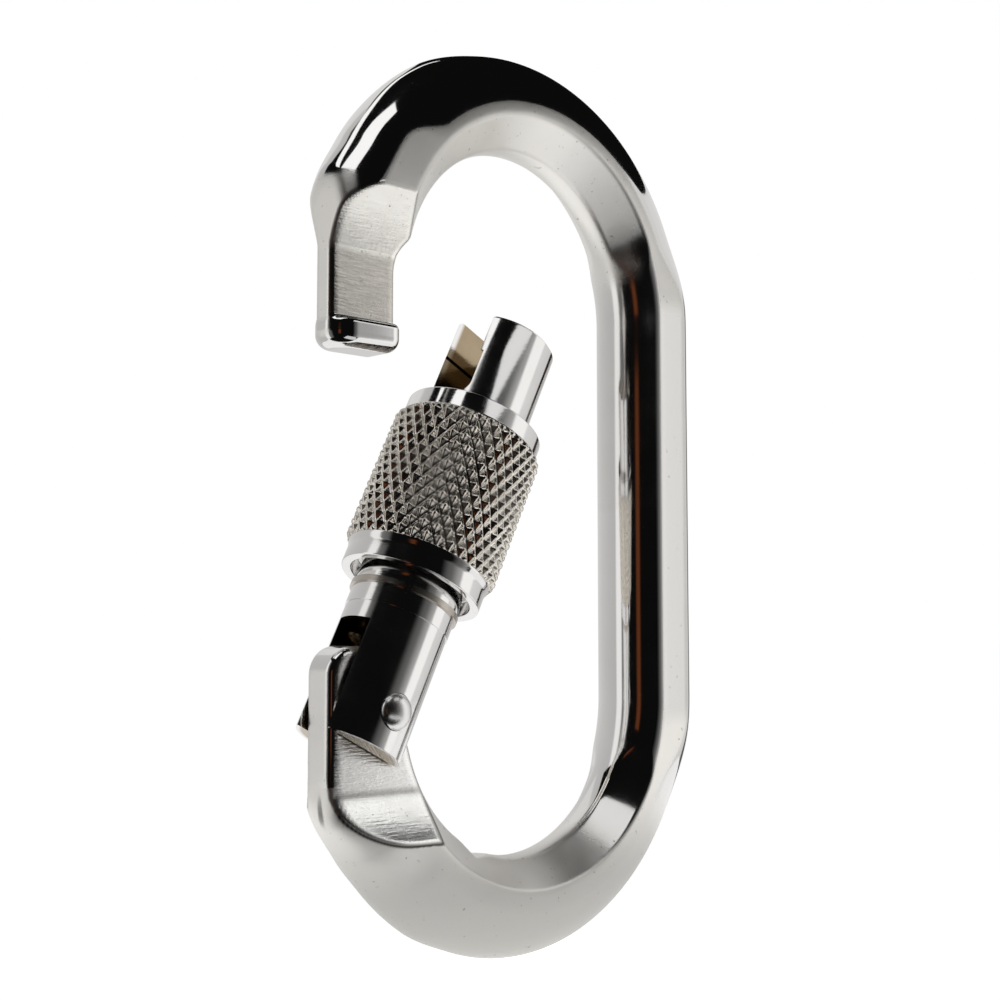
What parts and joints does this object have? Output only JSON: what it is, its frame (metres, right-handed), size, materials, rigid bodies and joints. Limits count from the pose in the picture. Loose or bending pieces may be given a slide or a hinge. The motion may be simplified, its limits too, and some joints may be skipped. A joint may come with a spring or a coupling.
{
  "type": "oval screw-lock carabiner",
  "caption": "Oval steel carabiner with a sprung hinged gate, a tee nose and a knurled locking sleeve, shown with the gate open.",
  "frame": {"origin": "the load point: middle of the inside of the top bend, on the centre plane", "axes": "+Z along the oval's long axis towards the nose end, +X from the gate side to the spine, +Y from the front face to the rear face"},
  "size_m": [0.0608, 0.0184, 0.11],
  "materials": {
    "body_steel": "polished stainless steel, milled at the nose and hinge",
    "gate_steel": "polished, fine turned lines",
    "rivet_steel": "polished dome",
    "ring_steel": "satin spring steel",
    "sleeve_steel": "diamond knurl between polished collars",
    "plunger_steel": "satin",
    "spring_steel": "drawn wire"
  },
  "bodies": {
    "oval_body": {"oval_body": "body_steel"},
    "gate": {"gate_tube": "gate_steel", "hinge_rivet": "rivet_steel", "sleeve_stop_ring": "ring_steel", "gate_spring": "spring_steel"},
    "sleeve": {"locking_sleeve": "sleeve_steel"},
    "plunger": {"spring_plunger": "plunger_steel"}
  },
  "joints": [
    {"name": "gate_hinge", "type": "hinge", "parent": "oval_body", "child": "gate", "pos_m": [-0.0235, 0, -0.0679], "axis": [0, 1, 0], "range_deg": [-26.9, 3.1], "stiffness_Nm_per_rad": 0.15, "springref_deg": -114.59},
    {"name": "sleeve_travel", "type": "slide", "parent": "gate", "child": "sleeve", "axis": [0.4524, 0, 0.8918], "range_m": [-0.0033, 0.0115]},
    {"name": "plunger_travel", "type": "slide", "parent": "gate", "child": "plunger", "axis": [0.4524, 0, 0.8918], "range_m": [-0.0006, 0.0001], "deforming": ["gate_spring"]}
  ],
  "couplings": [
    {"joint": "plunger_travel", "follows": "gate_hinge", "m_per_rad": 0.0012414}
  ]
}
